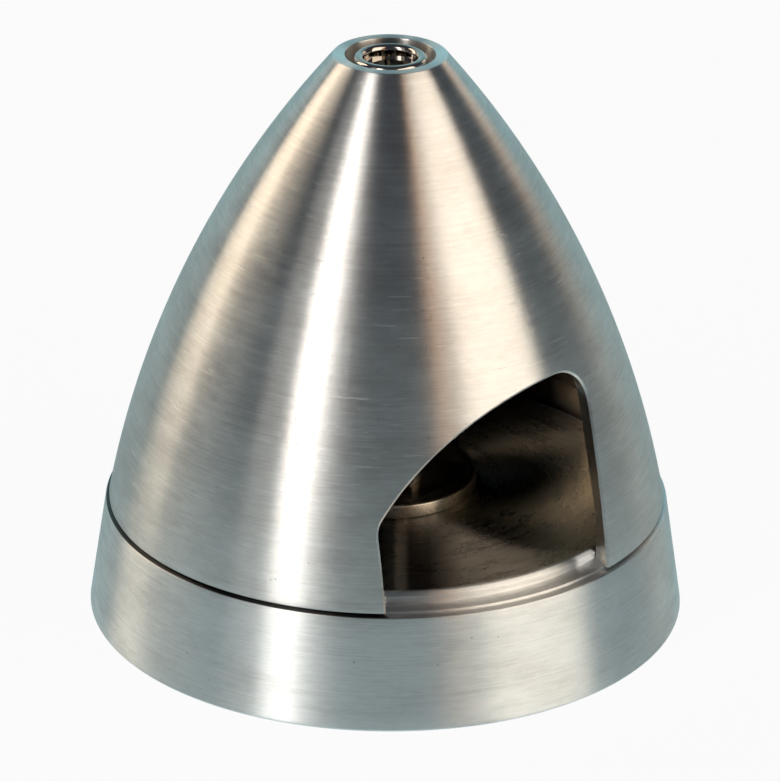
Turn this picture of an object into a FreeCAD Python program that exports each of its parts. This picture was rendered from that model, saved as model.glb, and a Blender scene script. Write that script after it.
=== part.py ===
import FreeCAD, Part
import math
import os

import Sketcher

# Propeller spinner for a model aircraft, turned from aluminium, with its own collet adapter.
#
# Frame: +Z runs along the propeller shaft towards the nose. The origin is the centre of the
# backplate's rear rim, which is the face that the spinner stands on. The two blade openings face
# -Y and +Y. Every size is in millimetres.

SIZES = {
    # backplate, outside
    "rim_step": 0.27,
    "rim_flare": 1.45,
    "rim_wall": 4.9,
    "seat_height": 10.0,
    "rim_edge_break": 0.25,
    "seat_relief_width": 0.85,
    "seat_relief_depth": 0.22,
    "spigot_height": 0.9,
    "spigot_chamfer": 0.3,
    "register_clearance": 0.05,
    # backplate, underside
    "recess_depth": 6.6,
    "hub_wall": 2.9,
    "hub_setback": 1.6,
    # cone
    "cone_base_radius": 23.78,
    "cone_length": 39.9,
    "ogive_radius": 87.46,
    "cone_wall": 1.3,
    "register_wall": 2.03,
    "cone_bore_height": 3.4,
    "nose_web": 4.2,
    "nose_lip": 1.06,
    "nose_edge_break": 0.12,
    # blade openings in the cone
    "opening_half_width": 10.2,
    "opening_arc_radius": 20.5,
    "opening_arc_offset": 7.3,
    "opening_arc_drop": 3.86,
    "opening_high_corner": 3.3,
    "opening_low_corner": 2.6,
    "opening_edge_break": 0.22,
    "opening_run_out": 4.0,
    # collet shaft
    "shaft_radius": 4.0,
    "shaft_running_clearance": 0.1,
    "shaft_tip_gap": 0.9,
    "shaft_end_chamfer": 0.5,
    "collet_shoulder": 0.7,
    "collet_flare": 1.4,
    "collet_length": 8.6,
    "collet_setback": 0.5,
    "collet_draw": 0.7,
    "collet_clearance": 0.01,
    "collet_edge_break": 0.3,
    "motor_bore_radius": 2.5,
    "motor_bore_depth": 14.0,
    "motor_bore_chamfer": 0.3,
    "slot_width": 0.8,
    "slot_length": 7.6,
    "slot_count": 4,
    # washer and nut that hold the propeller
    "washer_radius": 7.7,
    "washer_thickness": 1.2,
    "nut_across_flats": 12.0,
    "nut_height": 3.2,
    "nut_corner_height": 1.25,
    "nut_base_chamfer": 0.3,
    "nut_turn": 22.4,
    "thread_clearance": 0.02,
    # nose screw
    "screw_radius": 2.0,
    "screw_length": 12.0,
    "screw_hole_clearance": 0.15,
    "tapped_hole_depth": 9.5,
    "head_radius": 3.5,
    "head_height": 4.0,
    "head_rim_chamfer": 0.45,
    "head_recess": 0.5,
    "head_pocket_clearance": 0.28,
    "socket_across_flats": 3.0,
    "socket_depth": 2.2,
}

# The cone's outside is one arc, drawn in short lengths because those need fewer facets than one
# long one. Inside, it is bored as straight tapers.
LOW_ARC_COUNT = 3
HIGH_ARC_COUNT = 3
TAPER_COUNT = 2
OPENING_COUNT = 2

doc = FreeCAD.newDocument("propeller_spinner")


# ---------------------------------------------------------------------------------------------
# Sizes: one sheet holds the numbers, and a Size carries a number with the expression behind it
# ---------------------------------------------------------------------------------------------

class Size:
    """A length with its value in millimetres and the sheet expression that it stands for."""

    def __init__(self, value, text):
        self.value = value
        self.text = text

    def combine(self, other, sign, value):
        other_text = other.text if isinstance(other, Size) else repr(other)
        return Size(value, f"({self.text} {sign} {other_text})")

    def __add__(self, other):
        return self.combine(other, "+", self.value + other.value)

    def __sub__(self, other):
        return self.combine(other, "-", self.value - other.value)

    def __mul__(self, factor):
        return self.combine(factor, "*", self.value * factor)

    def __truediv__(self, divisor):
        return self.combine(divisor, "/", self.value / divisor)

    def __neg__(self):
        return Size(-self.value, f"(-1 * {self.text})")


ZERO = Size(0.0, "0")


def make_sheet():
    """Writes every driving size to its own cell, and gives the cell the size's name."""
    sheet = doc.addObject("Spreadsheet::Sheet", "Sizes")
    for row, (name, number) in enumerate(SIZES.items(), start=1):
        sheet.set(f"A{row}", name)
        sheet.set(f"B{row}", str(number))
        sheet.setAlias(f"B{row}", name)
    doc.recompute()
    return sheet


make_sheet()


def size(name):
    return Size(float(SIZES[name]), f"Sizes.{name}")


# Radii and heights that more than one piece shares
cone_base = size("cone_base_radius")
cone_bore = cone_base - size("register_wall")
spigot_radius = cone_bore - size("register_clearance")
rim_front = cone_base + size("rim_step")
rim_rear = rim_front + size("rim_flare")
head_pocket = size("head_radius") + size("head_pocket_clearance")
cone_nose = head_pocket + size("nose_lip")
collet_small = size("shaft_radius") + size("collet_shoulder")
collet_large = collet_small + size("collet_flare")
hub_radius = collet_large + size("hub_wall")
seat = size("seat_height")
floor = seat + size("spigot_height")
nose_tip = seat + size("cone_length")
ogive_top = nose_tip - size("nose_edge_break")
head_top = nose_tip - size("head_recess")
head_seat = head_top - size("head_height")
web_underside = head_seat - size("nose_web")
shaft_tip = web_underside - size("shaft_tip_gap")
washer_top = floor + size("washer_thickness")
collet_rear = size("collet_setback")
collet_front = collet_rear + size("collet_length")


# ---------------------------------------------------------------------------------------------
# Sketches and features
# ---------------------------------------------------------------------------------------------

def make_body(label):
    body = doc.addObject("PartDesign::Body", label)
    body.Label = label
    return body


def origin_feature(body, role):
    return [item for item in body.Origin.OriginFeatures if item.Role == role][0]


def make_sketch(body, name, plane="XZ_Plane", height=None):
    """An empty sketch on one of the body's own origin planes, moved up its normal by height."""
    sketch = body.newObject("Sketcher::SketchObject", name)
    sketch.AttachmentSupport = [(origin_feature(body, plane), "")]
    sketch.MapMode = "FlatFace"
    if height is not None:
        sketch.setExpression(".AttachmentOffset.Base.z", height.text)
    return sketch


def bind(sketch, constraint, length):
    """Adds a dimension to the sketch and ties it to the sheet."""
    index = sketch.addConstraint(constraint)
    sketch.setExpression(f"Constraints[{index}]", length.text)


def place_point(sketch, line, end, across, up):
    """Ties a point to its distance from both axes. A plain number is only a first guess."""
    if across is ZERO:
        sketch.addConstraint(Sketcher.Constraint("PointOnObject", line, end, -2))
    elif isinstance(across, Size):
        bind(sketch, Sketcher.Constraint("DistanceX", -1, 1, line, end, across.value), across)
    if up is ZERO:
        sketch.addConstraint(Sketcher.Constraint("PointOnObject", line, end, -1))
    elif isinstance(up, Size):
        bind(sketch, Sketcher.Constraint("DistanceY", -1, 1, line, end, up.value), up)


def number(length):
    return length.value if isinstance(length, Size) else float(length)


def whole_circle(centre, radius):
    return Part.Circle(FreeCAD.Vector(*centre, 0), FreeCAD.Vector(0, 0, 1), radius)


def arc_between(start, end, centre):
    """The shorter circular arc from start to end about centre, and whether it runs backwards."""
    radius = math.dist(start, centre)
    first = math.atan2(start[1] - centre[1], start[0] - centre[0])
    last = math.atan2(end[1] - centre[1], end[0] - centre[0])
    backwards = (last - first) % (2 * math.pi) > math.pi
    if backwards:
        first, last = last, first
    return Part.ArcOfCircle(whole_circle(centre, radius), first, last), backwards


def draw_outline(sketch, points, centres=None, smooth=()):
    """Draws the closed outline through points and ties each point to the sheet.

    centres gives the middle of the arc that leaves a point, by that point's number, and smooth
    numbers the points where one edge runs on into the next. The result lists each edge's number
    in the sketch.
    """
    centres = centres or {}
    numbers = [(number(across), number(up)) for across, up in points]
    edges, ends = [], []
    for index, start in enumerate(numbers):
        end = numbers[(index + 1) % len(numbers)]
        if index in centres:
            shape, backwards = arc_between(start, end, centres[index])
        else:
            shape = Part.LineSegment(FreeCAD.Vector(*start, 0), FreeCAD.Vector(*end, 0))
            backwards = False
        edges.append(sketch.addGeometry(shape))
        ends.append((2, 1) if backwards else (1, 2))
    for index, (across, up) in enumerate(points):
        before = index - 1
        joint = (edges[before], ends[before][1], edges[index], ends[index][0])
        meeting = "Tangent" if index in smooth else "Coincident"
        sketch.addConstraint(Sketcher.Constraint(meeting, *joint))
        place_point(sketch, edges[index], ends[index][0], across, up)
    return edges


def revolve(body, name, sketch, cut=False):
    kind = "PartDesign::Groove" if cut else "PartDesign::Revolution"
    feature = body.newObject(kind, name)
    feature.Profile = (sketch, [""])
    feature.ReferenceAxis = (sketch, ["V_Axis"])
    feature.Angle = 360
    doc.recompute()
    return feature


def turned(body, name, points, centres=None, cut=False):
    """A turned shape: a half section drawn as radius and height, revolved about the shaft."""
    sketch = make_sketch(body, f"{name}_section")
    draw_outline(sketch, points, centres)
    doc.recompute()
    return revolve(body, name, sketch, cut)


def extrude(body, name, sketch, length, cut=False, reverse=False):
    feature = body.newObject("PartDesign::Pocket" if cut else "PartDesign::Pad", name)
    feature.Profile = (sketch, [""])
    feature.setExpression("Length", length.text)
    feature.Reversed = reverse
    doc.recompute()
    return feature


def repeat_round_shaft(body, name, feature, count):
    """Repeats a feature at equal turns about the shaft."""
    pattern = body.newObject("PartDesign::PolarPattern", name)
    pattern.Originals = [feature]
    pattern.Axis = (origin_feature(body, "Z_Axis"), [""])
    pattern.Angle = 360
    pattern.Occurrences = count
    body.Tip = pattern
    doc.recompute()
    return pattern


def dress(body, kind, name, length, wanted):
    """Fillets or chamfers the edges that wanted picks from the body's shape so far."""
    base = body.Tip
    edges = [f"Edge{i + 1}" for i, edge in enumerate(base.Shape.Edges) if wanted(edge)]
    feature = body.newObject(f"PartDesign::{kind}", name)
    feature.Base = (base, edges)
    feature.setExpression("Radius" if kind == "Fillet" else "Size", length.text)
    doc.recompute()
    return feature


def on_ogive(edge):
    """Picks edges that lie on the cone's outside and climb it, such as an opening's rim."""
    centre = ogive_centre()
    first, last = edge.ParameterRange
    points = [edge.valueAt(first + (last - first) * step / 4) for step in range(5)]
    radius = size("ogive_radius").value
    on_surface = all(abs(math.dist((math.hypot(p.x, p.y), p.z), centre) - radius) < 1e-3 for p in points)
    climb = max(p.z for p in points) - min(p.z for p in points)
    return on_surface and climb > 1e-3


def circle_at(radius, height):
    """Picks whole circles about the shaft by radius and height."""
    def wanted(edge):
        curve = edge.Curve
        if not isinstance(curve, Part.Circle) or not edge.isClosed():
            return False
        near_radius = abs(curve.Radius - radius.value) < 1e-4
        return near_radius and abs(curve.Center.z - height.value) < 1e-4
    return wanted


def hexagon(sketch, across_flats):
    """A regular hexagon about the origin with two flats square to the sketch's Y axis."""
    corner = across_flats.value / math.sqrt(3)
    angles = [math.radians(60 * step) for step in range(6)]
    corners = [FreeCAD.Vector(corner * math.cos(a), corner * math.sin(a), 0) for a in angles]
    rim = sketch.addGeometry(whole_circle((0, 0), corner), True)
    sketch.addConstraint(Sketcher.Constraint("Coincident", rim, 3, -1, 1))
    sides = [sketch.addGeometry(Part.LineSegment(corners[i], corners[(i + 1) % 6])) for i in range(6)]
    for i, side in enumerate(sides):
        sketch.addConstraint(Sketcher.Constraint("Coincident", sides[i - 1], 2, side, 1))
        sketch.addConstraint(Sketcher.Constraint("PointOnObject", side, 1, rim))
        if i:
            sketch.addConstraint(Sketcher.Constraint("Equal", sides[0], side))
    sketch.addConstraint(Sketcher.Constraint("PointOnObject", sides[0], 1, -1))
    flat = Sketcher.Constraint("DistanceY", sides[4], 1, sides[1], 1, across_flats.value)
    bind(sketch, flat, across_flats)


# ---------------------------------------------------------------------------------------------
# Backplate: tapered rim, seat and spigot for the cone, recessed underside, hub with taper bore
# ---------------------------------------------------------------------------------------------

def make_backplate():
    body = make_body("backplate")
    rim_break = size("rim_edge_break")
    recess_top = size("recess_depth")
    hub_rear = size("hub_setback")
    taper_end = collet_front + size("collet_draw")
    taper_rear = collet_radius_at(hub_rear) + size("collet_clearance")
    taper_front = collet_radius_at(taper_end) + size("collet_clearance")
    shaft_hole = size("shaft_radius") + size("shaft_running_clearance")
    relief = seat - size("seat_relief_depth")
    recess = rim_rear - size("rim_wall")
    seat_outer = rim_front - size("seat_relief_width")
    section = [
        (recess, ZERO),
        (rim_rear - rim_break, ZERO),
        (rim_rear, rim_break),
        (rim_front, relief),
        (seat_outer, relief),
        (seat_outer, seat),
        (spigot_radius, seat),
        (spigot_radius, floor - size("spigot_chamfer")),
        (spigot_radius - size("spigot_chamfer"), floor),
        (shaft_hole, floor),
        (shaft_hole, taper_end),
        (taper_front, taper_end),
        (taper_rear, hub_rear),
        (hub_radius, hub_rear),
        (hub_radius, recess_top),
        (recess, recess_top),
    ]
    turned(body, "backplate_blank", section)
    return body


def collet_radius_at(height):
    """Radius of the collet's taper at a height, as a sheet expression."""
    flare, length = size("collet_flare"), size("collet_length")
    rise = height - collet_rear
    value = collet_large.value - flare.value * rise.value / length.value
    return Size(value, f"({collet_large.text} - {flare.text} * {rise.text} / {length.text})")


# ---------------------------------------------------------------------------------------------
# Cone: thin ogive shell, register bore, nose counterbore, two blade openings
# ---------------------------------------------------------------------------------------------

def ogive_centre():
    """Middle of the outer arc, from its two ends and its radius."""
    base = (cone_base.value, seat.value)
    tip = (cone_nose.value, ogive_top.value)
    half = math.dist(base, tip) / 2
    reach = math.sqrt(size("ogive_radius").value ** 2 - half ** 2)
    along = ((tip[0] - base[0]) / (2 * half), (tip[1] - base[1]) / (2 * half))
    return ((base[0] + tip[0]) / 2 - reach * along[1], (base[1] + tip[1]) / 2 + reach * along[0])


def share_out(low, high, count):
    """The heights that end each of count equal steps from low to high, without high itself."""
    return [low + (high - low) * (step / count) for step in range(1, count)]


def make_cone():
    """Turned outside and in as one section, then opened for the blades."""
    body = make_body("spinner_cone")
    hole = size("screw_radius") + size("screw_hole_clearance")
    outer_radius = size("ogive_radius")
    inner_radius = outer_radius - size("cone_wall")
    centre = ogive_centre()

    def on_circle(radius, height):
        """A point of the section at a height, with its distance from the shaft left to the arc."""
        rise = height.value - centre[1]
        return (centre[0] + math.sqrt(radius.value ** 2 - rise ** 2), height)

    bore_top = seat + size("cone_bore_height")
    opening_top = seat - size("opening_arc_drop") + size("opening_arc_radius")
    stations = share_out(seat, opening_top, LOW_ARC_COUNT) + [opening_top]
    stations += share_out(opening_top, ogive_top, HIGH_ARC_COUNT)
    outside = [on_circle(outer_radius, height) for height in stations]
    tapers = share_out(bore_top, web_underside, TAPER_COUNT) + [web_underside]
    inside = [on_circle(inner_radius, height) for height in reversed(tapers)]
    section = [
        (cone_bore, seat),
        (cone_base, seat),
        *outside,
        (cone_nose, ogive_top),
        (cone_nose - size("nose_edge_break"), nose_tip),
        (head_pocket, nose_tip),
        (head_pocket, head_seat),
        (hole, head_seat),
        (hole, web_underside),
        *inside,
        (cone_bore, bore_top),
    ]
    sketch = make_sketch(body, "cone_section")
    arcs = range(section.index((cone_base, seat)), section.index((cone_nose, ogive_top)))
    edges = draw_outline(sketch, section, {index: centre for index in arcs})
    first_arc = edges[arcs[0]]
    bind(sketch, Sketcher.Constraint("Radius", first_arc, outer_radius.value), outer_radius)
    for index in arcs[1:]:
        sketch.addConstraint(Sketcher.Constraint("Coincident", first_arc, 3, edges[index], 3))
    guide = sketch.addGeometry(whole_circle(centre, inner_radius.value), True)
    bind(sketch, Sketcher.Constraint("Radius", guide, inner_radius.value), inner_radius)
    sketch.addConstraint(Sketcher.Constraint("Coincident", first_arc, 3, guide, 3))
    first_taper = section.index(inside[0])
    for taper in edges[first_taper:first_taper + TAPER_COUNT]:
        sketch.addConstraint(Sketcher.Constraint("PointOnObject", taper, 1, guide))
    doc.recompute()
    revolve(body, "cone_shell", sketch)
    cut_openings(body)
    return body


def corner_centre(side, corner, arc_centre, arc_radius):
    """Middle of the rounding between an upright side of the opening and its arched top."""
    inward = side - math.copysign(corner, side)
    reach = math.sqrt((arc_radius - corner) ** 2 - (inward - arc_centre[0]) ** 2)
    return (inward, arc_centre[1] + reach)


def cut_openings(body):
    """Mills the opening in from -Y, repeats it opposite, and breaks the outside edges."""
    half = size("opening_half_width")
    radius = size("opening_arc_radius")
    middle = (size("opening_arc_offset"), seat - size("opening_arc_drop"))
    middle_at = (middle[0].value, middle[1].value)
    high, low = size("opening_high_corner"), size("opening_low_corner")
    high_at = corner_centre(half.value, high.value, middle_at, radius.value)
    low_at = corner_centre(-half.value, low.value, middle_at, radius.value)

    def on_arc(point):
        scale = radius.value / math.dist(point, middle_at)
        return tuple(m + (p - m) * scale for p, m in zip(point, middle_at))

    bottom = seat - size("opening_run_out")
    outline = [
        (-half, bottom),
        (half, bottom),
        (half, high_at[1]),
        on_arc(high_at),
        on_arc(low_at),
        (-half, low_at[1]),
    ]
    sketch = make_sketch(body, "opening_outline")
    centres = {2: high_at, 3: middle_at, 4: low_at}
    edges = draw_outline(sketch, outline, centres, smooth=(2, 3, 4, 5))
    high_arc, top_arc, low_arc = edges[2:5]
    for arc, length in ((high_arc, high), (top_arc, radius), (low_arc, low)):
        bind(sketch, Sketcher.Constraint("Radius", arc, length.value), length)
    place_point(sketch, top_arc, 3, *middle)
    doc.recompute()
    pocket = extrude(body, "opening", sketch, rim_rear, cut=True, reverse=True)
    repeat_round_shaft(body, "openings", pocket, OPENING_COUNT)
    dress(body, "Chamfer", "opening_edges", size("opening_edge_break"), on_ogive)


# ---------------------------------------------------------------------------------------------
# Collet shaft: slotted taper that grips the motor shaft, and the threaded shaft for the propeller
# ---------------------------------------------------------------------------------------------

def make_collet_shaft():
    body = make_body("collet_shaft")
    edge = size("collet_edge_break")
    end = size("shaft_end_chamfer")
    bore = size("motor_bore_radius")
    mouth = size("motor_bore_chamfer")
    tapped = size("screw_radius") + size("thread_clearance")
    bore_top = collet_rear + size("motor_bore_depth")
    section = [
        (bore, collet_rear + mouth),
        (bore + mouth, collet_rear),
        (collet_large - edge, collet_rear),
        (collet_radius_at(collet_rear + edge), collet_rear + edge),
        (collet_small, collet_front),
        (size("shaft_radius"), collet_front),
        (size("shaft_radius"), shaft_tip - end),
        (size("shaft_radius") - end, shaft_tip),
        (tapped, shaft_tip),
        (tapped, shaft_tip - size("tapped_hole_depth")),
        (ZERO, shaft_tip - size("tapped_hole_depth")),
        (ZERO, bore_top),
        (bore, bore_top),
    ]
    turned(body, "collet_blank", section)
    sketch = make_sketch(body, "slot_outline", plane="XY_Plane")
    half = size("slot_width") / 2
    draw_outline(sketch, [(ZERO, -half), (hub_radius, -half), (hub_radius, half), (ZERO, half)])
    length = collet_rear + size("slot_length")
    slot = extrude(body, "collet_slot", sketch, length, cut=True, reverse=True)
    repeat_round_shaft(body, "collet_slots", slot, SIZES["slot_count"])
    return body


# ---------------------------------------------------------------------------------------------
# Washer, nut and nose screw
# ---------------------------------------------------------------------------------------------

def make_washer():
    body = make_body("prop_washer")
    radius = size("washer_radius")
    hole = size("shaft_radius") + size("shaft_running_clearance")
    section = [(hole, floor), (radius, floor), (radius, washer_top), (hole, washer_top)]
    turned(body, "washer_ring", section)
    return body


def make_nut():
    """A hexagon nut with its top corners turned off to a cone."""
    body = make_body("prop_nut")
    height = size("nut_height")
    flats = size("nut_across_flats")
    sketch = make_sketch(body, "nut_hexagon", plane="XY_Plane", height=washer_top)
    hexagon(sketch, flats)
    sketch.setExpression(".AttachmentOffset.Rotation.Angle", "Sizes.nut_turn")
    doc.recompute()
    extrude(body, "nut_block", sketch, height)
    corner = flats / math.sqrt(3)
    outside = corner + size("nut_height")
    top = washer_top + height
    shoulder = washer_top + size("nut_corner_height")
    cone_run = height - size("nut_corner_height")
    turned(body, "nut_top_cone", [
        (corner - cone_run, top), (corner, shoulder), (outside, shoulder), (outside, top),
    ], cut=True)
    base = size("nut_base_chamfer")
    turned(body, "nut_base_cone", [
        (corner - base, washer_top), (outside, washer_top), (outside, washer_top + base),
        (corner, washer_top + base),
    ], cut=True)
    thread = size("shaft_radius") + size("thread_clearance")
    turned(body, "nut_thread_bore", [
        (ZERO, washer_top), (thread, washer_top), (thread, top), (ZERO, top),
    ], cut=True)
    return body


def make_nose_screw():
    """A socket head cap screw with a rounded head rim."""
    body = make_body("nose_screw")
    thread = size("screw_radius")
    tip = head_seat - size("screw_length")
    section = [
        (ZERO, tip),
        (thread, tip),
        (thread, head_seat),
        (size("head_radius"), head_seat),
        (size("head_radius"), head_top),
        (ZERO, head_top),
    ]
    turned(body, "screw_blank", section)
    rim = circle_at(size("head_radius"), head_top)
    dress(body, "Chamfer", "head_rim", size("head_rim_chamfer"), rim)
    sketch = make_sketch(body, "socket_hexagon", plane="XY_Plane", height=head_top)
    hexagon(sketch, size("socket_across_flats"))
    doc.recompute()
    extrude(body, "hexagon_socket", sketch, size("socket_depth"), cut=True)
    return body


# ---------------------------------------------------------------------------------------------
# Build, check and write
# ---------------------------------------------------------------------------------------------

def check_document():
    """Stops if any object of the document failed to compute."""
    for item in doc.Objects:
        if "Invalid" in item.State or "Error" in item.State:
            raise RuntimeError(f"{item.Label} failed: {item.State}")


def check_piece(body):
    shape = body.Shape
    if shape.isNull() or not shape.isValid() or len(shape.Solids) != 1:
        raise RuntimeError(f"{body.Label} is not one valid solid")


pieces = [
    make_backplate(),
    make_cone(),
    make_collet_shaft(),
    make_washer(),
    make_nut(),
    make_nose_screw(),
]
doc.recompute()
check_document()
for piece in pieces:
    check_piece(piece)

os.makedirs("parts", exist_ok=True)
for piece in pieces:
    piece.Shape.exportStep(f"parts/{piece.Label}.step")
    print(f"{piece.Label}: {piece.Shape.Volume:.1f} mm3")
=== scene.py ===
# %% [markdown]
# # A turned aluminium propeller spinner
#
# A spinner is the pointed cap over the hub of a model aircraft's propeller. This one is turned
# from aluminium bar: a thin ogive cone with two openings for the blades, on a backplate that
# holds a collet shaft, a washer and a nut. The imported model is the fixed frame, in metres, with
# +Z along the shaft. Every sub-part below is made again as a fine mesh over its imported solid,
# because polished metal shows the facets of a coarse one.

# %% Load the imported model
import math

import bmesh
import bpy
import numpy as np
from mathutils import Matrix, Vector


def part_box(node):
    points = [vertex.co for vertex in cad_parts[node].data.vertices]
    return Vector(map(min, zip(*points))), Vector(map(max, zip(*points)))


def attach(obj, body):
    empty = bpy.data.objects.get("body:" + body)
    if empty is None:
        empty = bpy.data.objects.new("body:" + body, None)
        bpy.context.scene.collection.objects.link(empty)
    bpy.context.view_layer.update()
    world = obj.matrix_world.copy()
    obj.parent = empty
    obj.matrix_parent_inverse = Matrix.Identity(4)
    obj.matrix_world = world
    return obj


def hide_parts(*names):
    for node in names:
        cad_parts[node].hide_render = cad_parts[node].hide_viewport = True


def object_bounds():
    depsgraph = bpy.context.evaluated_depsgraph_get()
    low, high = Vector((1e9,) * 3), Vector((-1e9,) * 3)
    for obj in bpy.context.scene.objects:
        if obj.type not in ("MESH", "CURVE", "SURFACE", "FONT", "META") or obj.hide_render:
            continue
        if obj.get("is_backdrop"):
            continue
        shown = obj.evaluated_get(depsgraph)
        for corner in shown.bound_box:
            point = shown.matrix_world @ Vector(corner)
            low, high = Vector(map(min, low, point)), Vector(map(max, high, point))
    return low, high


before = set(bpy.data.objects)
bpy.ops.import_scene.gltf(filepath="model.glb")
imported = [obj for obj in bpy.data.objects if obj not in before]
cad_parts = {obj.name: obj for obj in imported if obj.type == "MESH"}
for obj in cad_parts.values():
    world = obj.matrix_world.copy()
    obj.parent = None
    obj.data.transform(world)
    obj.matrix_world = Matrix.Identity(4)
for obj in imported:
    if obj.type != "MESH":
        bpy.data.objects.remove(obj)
cad_low, cad_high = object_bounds()
scene = bpy.context.scene
print("packed pieces:", ", ".join(sorted(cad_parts)))


# %% [markdown]
# ## Sizes and sections
#
# A turned piece is fully described by its half section: a list of radius and height pairs, in
# millimetres. Real edges are never knife sharp. `eased` swaps each corner for a small rounding,
# and those roundings are what catches the light on the finished piece.

# %% Sections in millimetres
MM = 0.001
SAME_PLACE = 1e-7  # In metres: points nearer than this are one point.
SEAT = 10.0
FLOOR = 10.9
NOSE_TIP = 49.9
HEAD_SEAT = 45.4
WEB_UNDERSIDE = 41.2
WASHER_TOP = 12.1
CONE_BASE, CONE_BORE = 23.78, 21.75
CONE_NOSE, HEAD_POCKET, SCREW_HOLE = 4.84, 3.78, 2.15
NOSE_BREAK = 0.12
OGIVE_RADIUS, CONE_WALL = 87.46, 1.3


def eased(section, size, steps=4):
    """The same section with each corner rounded by size, as short chords, on an open run of points."""
    points = [Vector(p) for p in section]
    result = [points[0]]
    for before, corner, after in zip(points, points[1:], points[2:]):
        into, out = (before - corner), (after - corner)
        reach = min(size, into.length * 0.45, out.length * 0.45)
        start, end = corner + into.normalized() * reach, corner + out.normalized() * reach
        for step in range(steps + 1):
            t = step / steps
            result.append(start.lerp(corner, t).lerp(corner.lerp(end, t), t))
    result.append(points[-1])
    return result


def subdivided(points, longest):
    """Adds points to a run so that no step is longer than longest."""
    result = [Vector(points[0])]
    for a, b in zip(points, points[1:]):
        count = max(1, math.ceil((Vector(b) - Vector(a)).length / longest))
        result += [Vector(a).lerp(Vector(b), (i + 1) / count) for i in range(count)]
    return result


# %% [markdown]
# ## A lathe in Geometry Nodes
#
# Each turned piece follows one rule: its section goes once round the shaft. The tree below is
# that rule. A grid has one column for each turn step and one row for each section point; Set
# Position bends it round the shaft. Two extra inputs cut a screw thread: the radius drops by a
# V-shaped groove whose phase depends on height and angle together, which is what a helix is.

# %% The node tree for turned pieces
class Wire:
    """A socket in a node tree. Arithmetic on it adds Math nodes."""

    def __init__(self, tree, socket):
        self.tree, self.socket = tree, socket

    def math(self, operation, *others):
        return self.tree.node("ShaderNodeMath", {"operation": operation},
                              dict(enumerate([self, *others])))

    def __add__(self, other):
        return self.math("ADD", other)

    def __sub__(self, other):
        return self.math("SUBTRACT", other)

    def __mul__(self, other):
        return self.math("MULTIPLY", other)

    def __truediv__(self, other):
        return self.math("DIVIDE", other)

    def __rsub__(self, other):
        return self.tree.node("ShaderNodeMath", {"operation": "SUBTRACT"}, {0: other, 1: self})

    __radd__, __rmul__ = __add__, __mul__

    def clamped(self):
        return self.tree.node("ShaderNodeClamp", {}, {0: self})


class Tree:
    """Adds nodes to a shader or geometry tree: a type, its settings, then its inputs."""

    def __init__(self, nodes):
        self.nodes = nodes

    def node(self, kind, settings=None, inputs=None, output=0):
        made = self.nodes.nodes.new(kind)
        for name, value in (settings or {}).items():
            if name == "stops":
                self.set_stops(made.color_ramp, value)
            else:
                setattr(made, name, value)
        for name, value in (inputs or {}).items():
            self.feed(made.inputs[name], value)
        return Wire(self, made.outputs[output]) if made.outputs else None

    def feed(self, socket, value):
        if isinstance(value, Wire):
            self.nodes.links.new(value.socket, socket)
        else:
            socket.default_value = value

    def set_stops(self, ramp, stops):
        while len(ramp.elements) < len(stops):
            ramp.elements.new(0.5)
        for element, (place, colour) in zip(ramp.elements, stops):
            element.position = place
            element.color = (*colour, 1.0) if len(colour) == 3 else colour


def new_geometry_tree(name, sizes):
    """A geometry tree that takes a mesh and named sizes, and gives a mesh."""
    group = bpy.data.node_groups.new(name, "GeometryNodeTree")
    group.interface.new_socket("Geometry", in_out="INPUT", socket_type="NodeSocketGeometry")
    for label, kind in sizes:
        group.interface.new_socket(label, in_out="INPUT", socket_type=f"NodeSocket{kind}")
    group.interface.new_socket("Geometry", in_out="OUTPUT", socket_type="NodeSocketGeometry")
    source = group.nodes.new("NodeGroupInput")
    tree = Tree(group)
    entry = {socket.name: Wire(tree, socket) for socket in source.outputs if socket.name}
    return group, tree, entry


def end_tree(group, tree, geometry, material):
    """Every tree ends the same way: real geometry, with its material."""
    real = tree.node("GeometryNodeRealizeInstances", {}, {0: geometry})
    painted = tree.node("GeometryNodeSetMaterial", {}, {"Geometry": real, "Material": material})
    group.nodes.new("NodeGroupOutput")
    group.links.new(painted.socket, group.nodes[-1].inputs[0])


LATHE_SIZES = [("Turns", "Int"), ("Rows", "Int"), ("Pitch", "Float"), ("Depth", "Float"),
               ("Thread start", "Float"), ("Thread end", "Float"), ("Material", "Material")]


def helical_groove(entry, height, angle):
    """A V-shaped groove, from 0 to 1, that climbs one pitch a turn and fades at both ends."""
    phase = (height / entry["Pitch"] - angle / math.tau).math("FRACT")
    groove = 1.0 - (phase * 2.0 - 1.0).math("ABSOLUTE")
    run_in = ((height - entry["Thread start"]) / entry["Pitch"]).clamped()
    run_out = ((entry["Thread end"] - height) / entry["Pitch"]).clamped()
    return groove * run_in * run_out


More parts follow.
